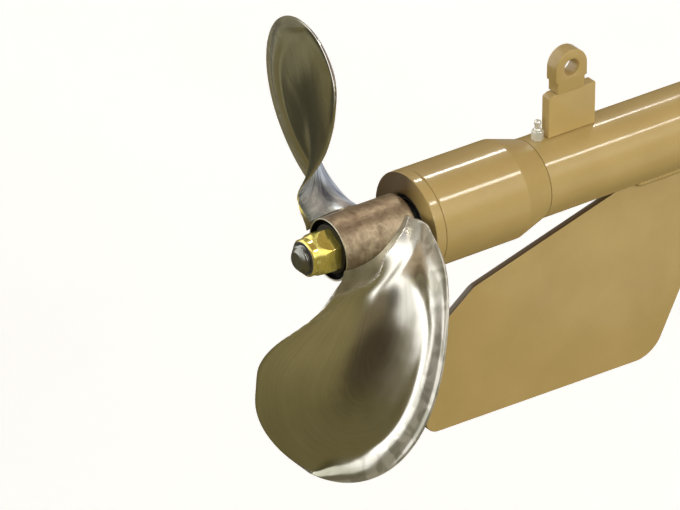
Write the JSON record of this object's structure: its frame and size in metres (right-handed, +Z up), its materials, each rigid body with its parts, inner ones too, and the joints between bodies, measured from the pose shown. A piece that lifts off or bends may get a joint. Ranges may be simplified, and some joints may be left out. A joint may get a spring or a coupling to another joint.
{
  "type": "two-bladed boat drive propeller with its lower unit",
  "caption": "Two-bladed swept propeller with a left-hand twist on a flanged drive tube, with a bearing housing, a skeg plate and a trim eye.",
  "frame": {"origin": "on the flat forward face of the mounting flange, on its bolt circle, straight above the shaft", "axes": "+X forward along the shaft and out of the flange's face, +Z up, +Y to port"},
  "size_m": [0.4419, 0.2068, 0.3724],
  "materials": {
    "polished_steel": "polished stainless, cupped faces",
    "hub": "dull linished",
    "steel": "machined",
    "brass": "bright",
    "dark_washer": "matte black",
    "paint": "semi-gloss tan paint",
    "rubber": "matte"
  },
  "bodies": {
    "lower_unit": {"seal_cap": "paint", "shaft_seal": "rubber", "bearing_housing": "paint", "aft_bearing": "steel", "fore_bearing": "steel", "drive_tube": "paint", "mounting_flange": "paint", "skeg_plate": "paint", "skeg_weld_port": "paint", "skeg_weld_starboard": "paint", "grease_base": "steel", "grease_nipple": "steel", "trim_lug": "paint", "trim_eye": "paint"},
    "propeller": {"prop_shaft": "steel", "prop_hub": "hub", "blade_upper": "polished_steel", "blade_lower": "polished_steel", "prop_washer": "dark_washer", "lock_nut": "brass", "nut_insert": "dark_washer", "wear_sleeve": "steel"}
  },
  "joints": [
    {"name": "propeller_spin", "type": "hinge", "parent": "lower_unit", "child": "propeller", "pos_m": [-0.346, 0, -0.0465], "axis": [1, 0, 0], "continuous": true}
  ]
}
